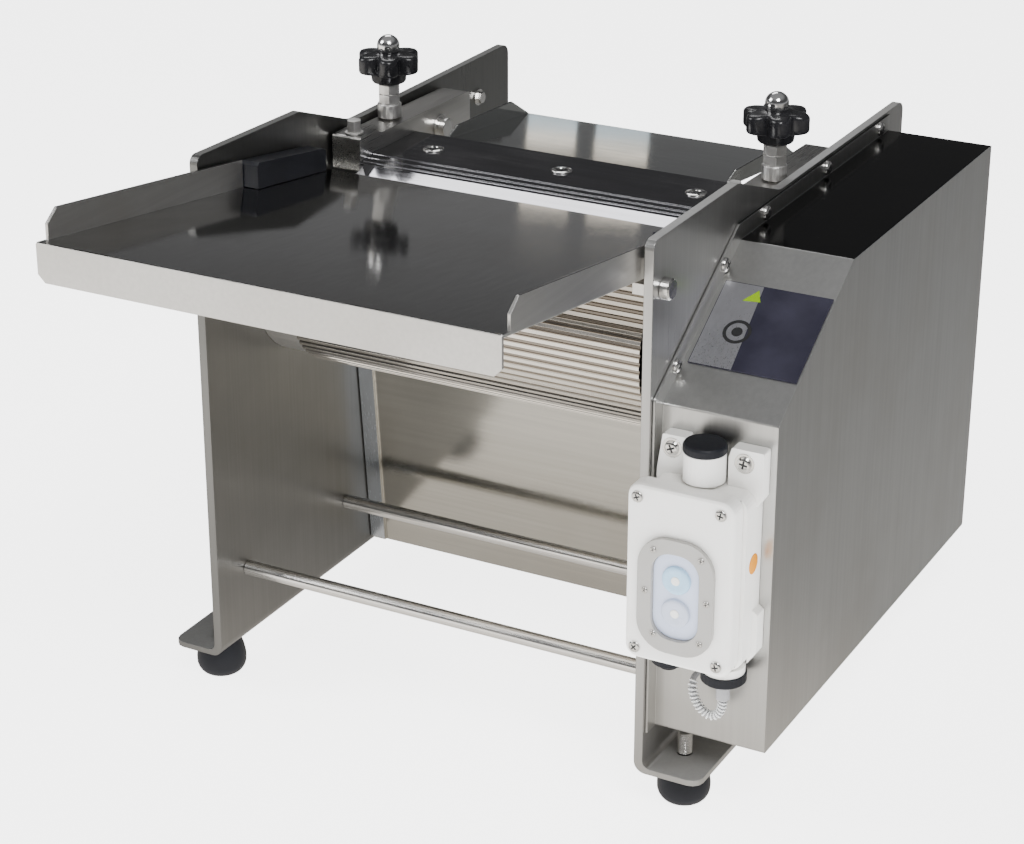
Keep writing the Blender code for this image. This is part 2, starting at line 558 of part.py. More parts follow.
def glands_and_lead():
    for name, x, y, r, high, low in (("gland_left", 182.5, 1.0, 11.2, 92.2, 82.0),
                                     ("gland_right", 221.0, -0.6, 14.6, 86.5, 80.0)):
        steps = [(high, r), (low + 1.0, r), (low, r - 1.0), (low, r * 0.55), (low - 3.5, r * 0.5)]
        make(name, turned(x, y, steps, along_z, 24), rubber(name), smooth=True)
    path = [(221, -0.6, 76.2), (221.4, -0.4, 68), (221.6, -0.2, 62), (219.4, 0, 55.5), (214, 0, 52), (208, 0, 53.5),
            (203.5, 0, 58.5), (200.6, 0.6, 64), (198.8, 2.4, 69), (198, 5.6, 72), (198, 10, 72.6), (198, 14.1, 72.6)]
    curve = bpy.data.curves.new("switch_lead", "CURVE")
    curve.dimensions = "3D"
    curve.bevel_depth = 3.4 * MM
    curve.bevel_resolution = 3
    curve.use_fill_caps = True
    line = curve.splines.new("POLY")
    line.points.add(len(path) - 1)
    for point, place in zip(line.points, path):
        point.co = (place[0] * MM, place[1] * MM, place[2] * MM, 1.0)
    obj = bpy.data.objects.new("switch_lead", curve)
    curve.materials.append(material("switch_lead", (0.45, 0.45, 0.45), 0.5, 0.0))
    bpy.context.scene.collection.objects.link(obj)


def main():
    clear_scene()
    side_plate("left_side_plate", -1.0)
    side_plate("right_side_plate", 1.0)
    feet()
    cross_rods()
    rear_panel()
    outfeed_chute()
    infeed_tray()
    tray_fittings()
    feed_roller()
    bearings()
    gear_motor()
    arms()
    holder()
    knobs()
    drive_cover()
    label_plate()
    switch_box()
    glands_and_lead()
    for obj in bpy.data.objects:
        obj.location += Vector(BASE_SHIFT) * MM


main()
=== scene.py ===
"""Looks of the dough sheeter: brushed sheet, fluted roller, star knobs and a moulded switch box."""

import math

import bmesh
import bpy
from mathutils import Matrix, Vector

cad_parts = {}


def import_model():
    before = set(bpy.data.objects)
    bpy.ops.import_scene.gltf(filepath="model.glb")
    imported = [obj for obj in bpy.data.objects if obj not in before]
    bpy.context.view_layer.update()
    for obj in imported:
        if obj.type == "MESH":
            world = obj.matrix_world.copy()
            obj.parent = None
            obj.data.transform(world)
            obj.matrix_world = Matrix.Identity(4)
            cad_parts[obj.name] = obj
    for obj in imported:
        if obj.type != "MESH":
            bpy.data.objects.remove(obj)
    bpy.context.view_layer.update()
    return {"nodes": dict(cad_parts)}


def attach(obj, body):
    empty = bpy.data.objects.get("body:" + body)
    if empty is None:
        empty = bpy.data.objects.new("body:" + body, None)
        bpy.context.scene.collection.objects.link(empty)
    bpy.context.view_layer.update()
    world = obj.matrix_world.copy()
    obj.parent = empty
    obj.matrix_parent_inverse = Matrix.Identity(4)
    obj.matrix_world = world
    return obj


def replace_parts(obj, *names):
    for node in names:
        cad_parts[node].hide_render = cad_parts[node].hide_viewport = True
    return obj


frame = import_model()
NODES = frame["nodes"]


MM = 0.001
BASE = Vector((-21.75, -126.0, 33.5))

ROLLER_Y, ROLLER_Z, ROLLER_LAND = 120.6, 252.0, 0.064
KNOB_X, KNOB_Y, KNOB_Z = 149.0, 224.0, 357.0
FOOT_X, FOOT_ROWS = 182.2, (("front", 31.0), ("rear", 398.0))
HOLDER_SCREWS, HOLDER_SCREW_Y = (-101.5, 0.0, 101.5), 204.0
FLANGE_FACE = 167.8
LID_FACE, RING_FACE, EAR_FACE = -22.0, -25.3, 4.0
LABEL_START, LABEL_END = Vector((14.5, 251.0)), Vector((127.5, 321.7))
SIDES = (("left", -1.0), ("right", 1.0))


def place(x, y, z):
    """Millimetres measured from the left-right middle, the side plates' front edge and their foot."""
    return (Vector((x, y, z)) + BASE) * MM


# ---------------------------------------------------------------- materials

def node(tree, kind, **values):
    item = tree.nodes.new(kind)
    for key, value in values.items():
        if key.startswith("in_"):
            name = key[3:].replace("_", " ")
            item.inputs[name].default_value = value
        else:
            setattr(item, key, value)
    return item


def fresh(name):
    mat = bpy.data.materials.new(name)
    mat.use_nodes = True
    tree = mat.node_tree
    return mat, tree, tree.nodes["Principled BSDF"]


def scaled(tree, scale, offset=(0.0, 0.0, 0.0)):
    coords = node(tree, "ShaderNodeTexCoord")
    mapping = node(tree, "ShaderNodeMapping")
    mapping.inputs["Scale"].default_value = scale
    mapping.inputs["Location"].default_value = offset
    tree.links.new(coords.outputs["Object"], mapping.inputs["Vector"])
    return mapping.outputs["Vector"]


def noise(tree, vector, scale, detail=3.0, rough=0.5):
    item = node(tree, "ShaderNodeTexNoise")
    item.inputs["Scale"].default_value = scale
    item.inputs["Detail"].default_value = detail
    item.inputs["Roughness"].default_value = rough
    tree.links.new(vector, item.inputs["Vector"])
    return item.outputs["Fac"]


def remap(tree, value, low, high, a=0.0, b=1.0):
    item = node(tree, "ShaderNodeMapRange")
    item.inputs["From Min"].default_value = a
    item.inputs["From Max"].default_value = b
    item.inputs["To Min"].default_value = low
    item.inputs["To Max"].default_value = high
    tree.links.new(value, item.inputs["Value"])
    return item.outputs["Result"]


def math_node(tree, operation, a, b):
    item = node(tree, "ShaderNodeMath", operation=operation)
    for socket, value in zip(item.inputs, (a, b)):
        if isinstance(value, (int, float)):
            socket.default_value = value
        else:
            tree.links.new(value, socket)
    return item.outputs[0]


def mix_colour(tree, factor, a, b):
    item = node(tree, "ShaderNodeMix", data_type="RGBA")
    if isinstance(factor, (int, float)):
        item.inputs[0].default_value = factor
    else:
        tree.links.new(factor, item.inputs[0])
    for socket, value in ((item.inputs[6], a), (item.inputs[7], b)):
        if isinstance(value, tuple):
            socket.default_value = (*value, 1.0)
        else:
            tree.links.new(value, socket)
    return item.outputs[2]


def bump(tree, shader, height, strength, distance, edge=0.0):
    item = node(tree, "ShaderNodeBump")
    item.inputs["Strength"].default_value = strength
    item.inputs["Distance"].default_value = distance
    tree.links.new(height, item.inputs["Height"])
    if edge > 0.0:
        soft = node(tree, "ShaderNodeBevel", samples=6)
        soft.inputs["Radius"].default_value = edge
        tree.links.new(soft.outputs["Normal"], item.inputs["Normal"])
    tree.links.new(item.outputs["Normal"], shader.inputs["Normal"])


GRAIN = {"x": (1.0, 60.0, 60.0), "y": (60.0, 1.0, 60.0), "z": (60.0, 60.0, 1.0)}


def brushed(name, colour, rough, grain="y", edge=0.0008, spread=0.08, cloud=0.07, depth=0.05,
            warm=(1.0, 0.97, 0.93), up_painted_shade_and_smoothing=None):
    """Stainless sheet: long fine scratches along one axis, cloudy roughness and faint warm staining.

    The last argument is (darkening, smoothing) for faces that look up; its darkening is painted shade, a dark
    reflection painted into their colour.
    """
    mat, tree, shader = fresh(name)
    shader.inputs["Metallic"].default_value = 1.0
    lines = noise(tree, scaled(tree, GRAIN[grain]), 22.0, 4.0, 0.65)
    coarse = noise(tree, scaled(tree, GRAIN[grain], (3.1, 1.7, 0.4)), 5.0, 3.0, 0.6)
    clouds = noise(tree, scaled(tree, (1.0, 1.0, 1.0)), 9.0, 3.0, 0.55)
    spots = noise(tree, scaled(tree, (1.0, 1.0, 1.0), (5.0, 2.0, 1.0)), 60.0, 4.0, 0.7)
    streak = math_node(tree, "ADD", remap(tree, lines, -spread, spread, 0.3, 0.7),
                       remap(tree, clouds, -cloud, cloud, 0.3, 0.7))
    total = math_node(tree, "ADD", streak, rough)
    if up_painted_shade_and_smoothing:
        geometry = node(tree, "ShaderNodeNewGeometry")
        split = node(tree, "ShaderNodeSeparateXYZ")
        tree.links.new(geometry.outputs["Normal"], split.inputs["Vector"])
        upward = remap(tree, split.outputs["Z"], 0.0, 1.0, 0.93, 0.97)
        total = math_node(tree, "SUBTRACT", total, math_node(tree, "MULTIPLY", upward, up_painted_shade_and_smoothing[1]))
    tree.links.new(total, shader.inputs["Roughness"])
    light = tuple(min(1.0, c * 1.08) for c in colour)
    dull = tuple(c * 0.86 * w for c, w in zip(colour, warm))
    shade = mix_colour(tree, remap(tree, coarse, 0.0, 1.0, 0.35, 0.65), colour, light)
    shade = mix_colour(tree, remap(tree, clouds, 0.0, 0.6, 0.45, 0.75), shade, dull)
    shade = mix_colour(tree, remap(tree, spots, 0.0, 0.25, 0.62, 0.8), shade, dull)
    if up_painted_shade_and_smoothing:
        # Painted shade: upward faces are mixed towards near black, a dark reflection painted into the colour.
        shade = mix_colour(tree, upward, shade, mix_colour(tree, up_painted_shade_and_smoothing[0], shade, (0.02, 0.02, 0.02)))
    tree.links.new(shade, shader.inputs["Base Color"])
    bump(tree, shader, lines, depth, 0.0004, edge)
    return mat


def bright(name, colour=(0.8, 0.79, 0.77), rough=0.16, edge=0.0004):
    """Turned or plated small parts: fine rings of tool marks and a few dull patches."""
    mat, tree, shader = fresh(name)
    shader.inputs["Metallic"].default_value = 1.0
    marks = noise(tree, scaled(tree, (1.0, 1.0, 1.0)), 900.0, 3.0, 0.6)
    patches = noise(tree, scaled(tree, (1.0, 1.0, 1.0), (1.0, 4.0, 2.0)), 120.0, 3.0, 0.6)
    tree.links.new(remap(tree, patches, rough - 0.05, rough + 0.12, 0.3, 0.7), shader.inputs["Roughness"])
    dull = tuple(c * 0.8 for c in colour)
    tree.links.new(mix_colour(tree, remap(tree, patches, 0.0, 0.7, 0.4, 0.75), colour, dull),
                   shader.inputs["Base Color"])
    bump(tree, shader, marks, 0.03, 0.0002, edge)
    return mat


def plastic(name, colour, rough, grain_scale=700.0, depth=0.06, dirt=(0.75, 0.72, 0.66), dirt_amount=0.25,
            edge=0.0008, specular=0.5):
    """Moulded plastic: fine spark-eroded texture, slight tone changes and grime."""
    mat, tree, shader = fresh(name)
    shader.inputs["Specular IOR Level"].default_value = specular
    texture = noise(tree, scaled(tree, (1.0, 1.0, 1.0)), grain_scale, 2.0, 0.5)
    tone = noise(tree, scaled(tree, (1.0, 1.0, 1.0), (2.0, 7.0, 3.0)), 28.0, 4.0, 0.6)
    grime = tuple(c * d for c, d in zip(colour, dirt))
    tree.links.new(mix_colour(tree, remap(tree, tone, 0.0, dirt_amount, 0.45, 0.8), colour, grime),
                   shader.inputs["Base Color"])
    tree.links.new(remap(tree, tone, rough - 0.06, rough + 0.1, 0.3, 0.7), shader.inputs["Roughness"])
    bump(tree, shader, texture, depth, 0.0003, edge)
    return mat


def fluted(name, colour, axis_y, axis_z, land):
    """Roller steel: bright ground lands and grooves painted darker as shade, told apart by the distance from
    the axis.
    """
    mat = brushed(name, colour, 0.15, "x", edge=0.0003, depth=0.03)
    tree = mat.node_tree
    shader = tree.nodes["Principled BSDF"]
    split = node(tree, "ShaderNodeSeparateXYZ")
    tree.links.new(scaled(tree, (1.0, 1.0, 1.0)), split.inputs["Vector"])
    across = math_node(tree, "SUBTRACT", split.outputs["Y"], axis_y)
    upward = math_node(tree, "SUBTRACT", split.outputs["Z"], axis_z)
    square = math_node(tree, "ADD", math_node(tree, "MULTIPLY", across, across),
                       math_node(tree, "MULTIPLY", upward, upward))
    radius = math_node(tree, "SQRT", square, 0.0)
    depth = remap(tree, radius, 0.0, 1.0, land - 0.0012, land - 0.0002)
    old = shader.inputs["Base Color"].links[0].from_socket
    # Painted shade: faces more than about a millimetre below the lands are coloured dark brown as shade in
    # the flutes.
    tree.links.new(mix_colour(tree, depth, (0.26, 0.23, 0.20), old), shader.inputs["Base Color"])
    return mat


def paint(names, mat):
    for name in names:
        slots = NODES[name].data.materials
        slots.clear()
        slots.append(mat)


right_plate = brushed("sheet_side_plates", (0.46, 0.46, 0.455), 0.36, "z", spread=0.04, depth=0.03,
                      up_painted_shade_and_smoothing=(0.0, -0.3))
# Painted shade: the left plate is the same steel as the right one, coloured far darker (0.20 against 0.46) as
# shade.
left_plate_painted_shade = brushed("sheet_left_plate_painted_shade", (0.20, 0.20, 0.195), 0.36, "z", spread=0.04, depth=0.03,
                     warm=(1.0, 1.0, 0.98), up_painted_shade_and_smoothing=(0.0, -0.3))
# Painted shade: upward faces of the tray are darkened by a quarter, a painted dark reflection.
tray_steel = brushed("sheet_tray", (0.66, 0.655, 0.64), 0.34, "y", spread=0.03, cloud=0.03, depth=0.015,
                     up_painted_shade_and_smoothing=(0.25, 0.26))
# Painted shade: upward faces of the drive cover are darkened almost to black, a painted dark reflection.
cover_steel = brushed("sheet_drive_cover", (0.54, 0.54, 0.53), 0.34, "z", spread=0.03, cloud=0.04, depth=0.02,
                      up_painted_shade_and_smoothing=(0.94, 0.2))
back_steel = brushed("sheet_rear_panel", (0.58, 0.57, 0.53), 0.14, "x", spread=0.03, cloud=0.03,
                     depth=0.03)
chute_steel = brushed("sheet_chute", (0.46, 0.47, 0.46), 0.09, "x", spread=0.03, cloud=0.03, depth=0.01)
# Painted shade: upward faces of the arms, brackets and bearings are darkened by about half, a painted dark
# reflection.
bar_steel = brushed("ground_bar", (0.66, 0.65, 0.63), 0.32, "y", edge=0.0005, spread=0.05, depth=0.03,
                    up_painted_shade_and_smoothing=(0.55, 0.0))
rod_steel = brushed("drawn_rod", (0.86, 0.85, 0.83), 0.26, "x", edge=0.0)
roller_centre = place(0.0, ROLLER_Y, ROLLER_Z)
roller_steel = fluted("fluted_roller", (0.78, 0.75, 0.70), roller_centre.y, roller_centre.z, ROLLER_LAND)
holder_steel = brushed("scraper_bar", (0.33, 0.33, 0.35), 0.10, "x", depth=0.02, edge=0.0005)
blade_steel = bright("honed_blade", (0.9, 0.9, 0.9), 0.12)
plated = bright("plated_fastener")
chrome = bright("chrome_cap", (0.86, 0.86, 0.86), 0.1)
nut_steel = bright("nut_steel", (0.84, 0.83, 0.81), 0.34, edge=0.0003)
machine_grey = brushed("machined_gear", (0.25, 0.25, 0.26), 0.4, "x")
knob_black = plastic("knob_black", (0.012, 0.012, 0.014), 0.22, 500.0, 0.04, (1.5, 1.5, 1.5), 0.6)
guide_black = plastic("guide_black", (0.012, 0.013, 0.018), 0.35, 400.0, 0.08, (1.6, 1.6, 1.6), 0.8)
box_white = plastic("box_white", (0.86, 0.85, 0.82), 0.38)
ring_grey = plastic("ring_grey", (0.36, 0.35, 0.33), 0.35, 900.0, 0.04)
black_rubber = plastic("black_rubber", (0.009, 0.010, 0.014), 0.5, 500.0, 0.15, (1.6, 1.6, 1.5), 0.5, 0.001,
                       0.25)
lead_grey = plastic("lead_grey", (0.32, 0.32, 0.33), 0.45)
pad_blue = plastic("pad_blue", (0.36, 0.58, 0.78), 0.25, 300.0, 0.02, (0.95, 0.97, 1.0), 0.2)
pad_grey = plastic("pad_grey", (0.50, 0.55, 0.68), 0.25, 300.0, 0.02, (0.95, 0.97, 1.0), 0.2)
membrane = plastic("membrane", (0.56, 0.62, 0.78), 0.2, 300.0, 0.02, (0.95, 0.97, 1.0), 0.2)
wrap_clear = plastic("wrap_clear", (0.72, 0.73, 0.72), 0.3, 400.0, 0.03)
sticker_yellow = plastic("sticker_yellow", (0.72, 0.27, 0.0), 0.5, 200.0, 0.04, specular=0.2)
sign_green = plastic("sign_green", (0.30, 0.52, 0.0), 0.5, 200.0, 0.04, specular=0.2)
label_silver = brushed("label_silver", (0.58, 0.58, 0.62), 0.35, "y", edge=0.0)
# Black for the gasket and the printed label ring, and painted shade where it fills screw recesses.
black_and_painted_recess_shade = plastic("black_and_painted_recess_shade", (0.012, 0.012, 0.013), 0.6, 300.0, 0.05)
strip_steel = brushed("bright_strip", (0.66, 0.71, 0.78), 0.2, "z", edge=0.0)
label_print = plastic("label_print", (0.02, 0.019, 0.035), 0.3, 200.0, 0.05, (2.2, 2.2, 2.0), 0.7, 0.0002)

paint(["left_side_plate"], left_plate_painted_shade)
paint(["right_side_plate"], right_plate)
paint(["infeed_tray"], tray_steel)
paint(["drive_cover", "motor_shelf"], cover_steel)
paint(["rear_panel"], back_steel)
paint(["outfeed_chute"], chute_steel)
paint([n for side, _ in SIDES for n in (f"{side}_arm", f"tray_bracket_{side}", f"bearing_{side}")], bar_steel)
paint(["front_tie_rod", "rear_tie_rod", "roller_shaft"], rod_steel)
paint(["feed_roller"], roller_steel)
paint(["blade_holder"], holder_steel)
paint(["blade"], blade_steel)
paint([n for n in NODES if any(word in n for word in ("screw", "bolt", "pivot", "cap"))], plated)
paint([n for side, _ in SIDES for n in (f"{side}_boss", f"{side}_arm_bolt", f"{side}_spindle")], nut_steel)
paint(["roller_gear", "motor_pinion", "gear_motor"], machine_grey)
paint(["left_knob", "right_knob"], knob_black)
paint(["tray_guide_left", "tray_guide_right"], guide_black)
paint(["switch_box", "switch_lid"], box_white)
paint(["switch_ring"], ring_grey)
paint(["conduit_plug", "gland_left", "gland_right"], black_rubber)
paint([n for n in NODES if n.startswith("foot_")], black_rubber)
paint(["switch_lead"], lead_grey)
paint(["on_button"], pad_blue)
paint(["off_button"], pad_grey)
paint(["label_plate"], label_print)


# ---------------------------------------------------------------- detailed pieces

def piece(name, bm, mat, body, smooth=True, angle=35.0):
    """Turns millimetre geometry into an object that moves with `body`."""
    bmesh.ops.remove_doubles(bm, verts=bm.verts, dist=0.0001)
    bmesh.ops.recalc_face_normals(bm, faces=bm.faces)
    for vert in bm.verts:
        vert.co = place(*vert.co)
    mesh = bpy.data.meshes.new(name)
    bm.to_mesh(mesh)
    bm.free()
    for face in mesh.polygons:
        face.use_smooth = smooth
    if smooth:
        mesh.set_sharp_from_angle(angle=math.radians(angle))
    mesh.materials.append(mat)
    obj = bpy.data.objects.new(name, mesh)
    bpy.context.scene.collection.objects.link(obj)
    if body:
        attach(obj, body)
    return obj


def frame_x(a, b, w):
    return (w, a, b)


def frame_y(a, b, w):
    return (a, w, b)


def frame_z(a, b, w):
    return (a, b, w)


def loft(bm, loops):
    """Skins closed loops of equal count and caps both ends."""
    rows = [[bm.verts.new(p) for p in loop] for loop in loops]
    count = len(rows[0])
    for low, high in zip(rows, rows[1:]):
        for i in range(count):
            j = (i + 1) % count
            bm.faces.new((low[i], low[j], high[j], high[i]))
    bm.faces.new(rows[0])
    bm.faces.new(rows[-1])


def turned(bm, a, b, steps, axes, count=48):
    loops = []
    for w, r in steps:
        loop = []
        for i in range(count):
            turn = 2.0 * math.pi * i / count
            loop.append(axes(a + r * math.cos(turn), b + r * math.sin(turn), w))
        loops.append(loop)
    loft(bm, loops)


def prism(bm, points, axes, low, high):
    loft(bm, [[axes(a, b, w) for a, b in points] for w in (low, high)])


def cross(a, b, reach, arm, turn=0.4):
    """Outline of a cross-shaped screwdriver recess."""
    points = []
    for k in range(4):
        for x, y in ((reach, -arm), (reach, arm), (arm, arm)):
            angle = turn + k * math.pi / 2.0
            points.append((a + x * math.cos(angle) - y * math.sin(angle),
                           b + x * math.sin(angle) + y * math.cos(angle)))
    return points


def pan_screws(name, spots, axes, face, out, radius, height):
    """Domed screw heads with a cross recess, standing `out` (+1 or -1) from a face; the recess is a dark
    solid of painted shade.
    """
    heads, recesses = bmesh.new(), bmesh.new()
    for k, (a, b) in enumerate(spots):
        steps = [(face + out * height * t, radius * r) for t, r in
                 ((0.0, 1.0), (0.3, 1.0), (0.6, 0.93), (0.85, 0.75), (0.97, 0.5), (1.0, 0.2))]
        turned(heads, a, b, steps, axes, 40)
        outline = cross(a, b, radius * 0.55, radius * 0.13, 0.4 + k)
        # Painted shade: a dark solid fills the cross recess in place of the shade inside it.
        prism(recesses, outline, axes, face + out * height * 0.45, face + out * height * 1.02)
    piece(name, heads, plated, "frame")
    piece(name + "_recess", recesses, black_and_painted_recess_shade, "frame", smooth=False)


def window_film():
    """Clear film behind the ring: a tall outline with round ends."""
    window = bmesh.new()
    outline = []
    right, left, high, low, radius = 199.5, 194.5, 158.0, 126.0, 13.3
    for cx, cz, start in ((right, high, 0.0), (left, high, 90.0), (left, low, 180.0), (right, low, 270.0)):
        for k in range(9):
            turn = math.radians(start + k * 11.25)
            outline.append((cx + radius * math.cos(turn), cz + radius * math.sin(turn)))
    prism(window, outline, frame_y, LID_FACE - 0.02, LID_FACE - 0.35)
    piece("window_film", window, membrane, "frame")


def switch_details():
    """Screws, washers, film, keys, gasket and sticker of the push-button box."""
    lid_spots = [(169.2, 203.7), (224.6, 203.2), (169.2, 100.4), (224.6, 100.0)]
    ring_spots = [(182.0, 172.2), (214.0, 171.6), (176.8, 143.3), (218.2, 143.3), (183.0, 114.8),
                  (214.4, 114.6)]
    ear_spots = [(179.6, 228.2), (227.6, 227.6)]
    pan_screws("lid_screws", lid_spots, frame_y, LID_FACE, -1.0, 3.9, 1.7)
    pan_screws("ring_screws", ring_spots, frame_y, RING_FACE, -1.0, 2.1, 1.1)
    pan_screws("ear_screws", ear_spots, frame_y, EAR_FACE, -1.0, 4.9, 2.6)
    pads = bmesh.new()
    for x, z in ear_spots:
        turned(pads, x, z, [(4.05, 6.4), (3.5, 6.4), (3.5, 5.2)], frame_y)
    piece("ear_washers", pads, plated, "frame")
    window_film()
    dished = [(-20.0, 9.5), (-23.2, 9.5), (-24.2, 9.1), (-24.7, 8.2), (-24.78, 6.6), (-24.6, 5.6),
              (-24.6, 0.5)]
    keys = (("on_pad", "on_key", 153.5, pad_blue), ("off_pad", "off_key", 131.0, pad_grey))
    for name, body, z, mat in keys:
        pad = bmesh.new()
        turned(pad, 197.0, z, dished, frame_y, 72)
        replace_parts(piece(name, pad, mat, body), name.replace("_pad", "_button"))
        dot = bmesh.new()
        turned(dot, 197.0, z, [(-24.5, 3.0), (-24.75, 2.9), (-24.8, 0.5)], frame_y)
        piece(name + "_dot", dot, box_white, body)
    gasket = bmesh.new()
    prism(gasket, [(171.5, 95.5), (232.0, 95.5), (232.0, 209.5), (171.5, 209.5)], frame_y, -9.7, -9.2)
    piece("lid_gasket", gasket, black_and_painted_recess_shade, "frame", smooth=False)
    disc = bmesh.new()
    turned(disc, 2.6, 163.0, [(236.45, 6.6), (236.65, 6.6), (236.7, 6.3)], frame_x)
    piece("side_sticker", disc, sticker_yellow, "frame")


def smooth_path(points, steps):
    """Catmull-Rom curve through the points."""
    path = [Vector(p) for p in points]
    dense = []
    for i in range(len(path) - 1):
        before, after = path[max(0, i - 1)], path[min(len(path) - 1, i + 2)]
        p, q = path[i], path[i + 1]
        for k in range(steps):
            t = k / steps
            square = (2.0 * before - 5.0 * p + 4.0 * q - after) * t * t
            cube = (3.0 * p - before - 3.0 * q + after) * t ** 3
            dense.append(0.5 * (2.0 * p + (q - before) * t + square + cube))
    return dense + [path[-1]]


def sweep(bm, points, radius, sides):
    """Round tube along a list of points."""
    loops = []
    for i, point in enumerate(points):
        ahead = (points[min(i + 1, len(points) - 1)] - points[max(i - 1, 0)]).normalized()
        side = ahead.cross(Vector((0.3, 1.0, 0.2))).normalized()
        other = side.cross(ahead).normalized()
        loops.append([tuple(point + (side * math.cos(t) + other * math.sin(t)) * radius)
                      for t in (2.0 * math.pi * k / sides for k in range(sides))])
    loft(bm, loops)


def lead_details():
    """Lead from the gland into the drive box: a stub, a thin looping core and a clear spiral wrap."""
    route = ((221.0, -0.6, 66.0), (220.4, -0.3, 60), (217.8, 0, 54.0), (213.0, 0, 51.6), (208, 0, 53.2),
             (203.5, 0, 58.0), (200.4, 0.6, 64), (198.8, 2.4, 69), (198.0, 6.0, 72.2), (198.0, 14.0, 72.6))
    core = smooth_path(route, 40)
    tube = bmesh.new()
    sweep(tube, core, 2.0, 16)
    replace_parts(piece("lead_core", tube, lead_grey, "frame"), "switch_lead")
    stub = bmesh.new()
    turned(stub, 221.0, -0.6, [(76.2, 4.4), (66.5, 4.4), (65.6, 3.4)], frame_z, 40)
    piece("lead_stub", stub, lead_grey, "frame")
    coil, travel = [], 0.0
    pitch = 2.5
    for i in range(4, 300):
        ahead = (core[i + 1] - core[i - 1]).normalized()
        travel += (core[i] - core[i - 1]).length
        side = ahead.cross(Vector((0.0, 1.0, 0.0))).normalized()
        other = side.cross(ahead).normalized()
        turn = travel / pitch * 2.0 * math.pi
        coil.append(core[i] + (side * math.cos(turn) + other * math.sin(turn)) * 2.6)
    wrap = bmesh.new()
    sweep(wrap, coil, 0.62, 8)
    piece("spiral_wrap", wrap, wrap_clear, "frame")


def star(cx, cy, radius, depth, count=144):
    """Six-lobed outline, `depth` deep between the lobes."""
    points = []
    for i in range(count):
        turn = 2.0 * math.pi * i / count
        wave = 0.5 + 0.5 * math.cos(6 * turn)
        reach = radius - depth * (1.0 - wave ** 0.5)
        points.append((cx + reach * math.cos(turn), cy + reach * math.sin(turn)))
    return points


def knob_details():
    """Star knobs with filleted lobes and acorn caps."""
    levels = ((0.02, 10.6, 0.0), (0.4, 11.4, 0.0), (1.4, 12.2, 0.0), (6.4, 13.1, 0.2), (7.4, 15.0, 2.0),
              (8.1, 20.4, 6.2), (8.8, 22.2, 7.6), (9.8, 23.1, 8.1), (11.0, 23.4, 8.1), (18.6, 23.4, 8.1),
              (19.8, 23.0, 8.1), (20.8, 21.9, 7.6), (21.3, 20.4, 6.8), (21.5, 17.0, 4.0), (21.6, 12.6, 0.0),
              (21.9, 10.4, 0.0), (22.35, 9.5, 0.0))
    for side, sign in SIDES:
        x, y, z = sign * KNOB_X, KNOB_Y, KNOB_Z
        bm = bmesh.new()
        loft(bm, [[(a, b, z + w) for a, b in star(x, y, r, d)] for w, r, d in levels])
        knob = piece(f"{side}_star_knob", bm, knob_black, f"{side}_adjuster", angle=50.0)
        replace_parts(knob, f"{side}_knob")
        cap = bmesh.new()
        steps = [(22.5, 7.8), (22.9, 8.0), (27.0, 8.0)]
        steps += [(27.0 + 7.35 * math.sin(t), 8.0 * math.cos(t)) for t in (0.15 * k for k in range(1, 11))]
        turned(cap, x, y, [(z + w, r) for w, r in steps], frame_z, 64)
        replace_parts(piece(f"{side}_acorn_cap", cap, chrome, f"{side}_adjuster"), f"{side}_knob_cap")


def feet_details():
    """Moulded rubber pads and the threaded studs they are screwed in by."""
    rounded = [(-33.5, 12.3), (-33.2, 13.2), (-32.4, 14.3), (-30.8, 15.7), (-28.8, 16.8), (-26.6, 17.5),
               (-24.0, 17.7), (-21.6, 17.7), (-18.0, 17.2), (-13.6, 16.2), (-9.0, 14.5), (-5.6, 13.3),
               (-4.9, 12.8), (-4.9, 5.0)]
    for row, y in FOOT_ROWS:
        for side, sign in SIDES:
            x = sign * FOOT_X
            pad = bmesh.new()
            turned(pad, x, y, rounded, frame_z, 64)
            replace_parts(piece(f"{row}_{side}_pad", pad, black_rubber, "frame"), f"foot_{row}_{side}")
            stud = bmesh.new()
            steps = [(-4.8, 4.3), (-0.4, 4.3)]
            z = 0.2
            while z < 14.0:
                steps += [(z, 4.35), (z + 0.5, 4.95), (z + 0.75, 4.95), (z + 1.2, 4.35)]
                z += 1.25
            steps += [(15.0, 4.4), (15.4, 4.0)]
            turned(stud, x, y, steps, frame_z, 40)
            piece(f"{row}_{side}_stud", stud, plated, "frame")


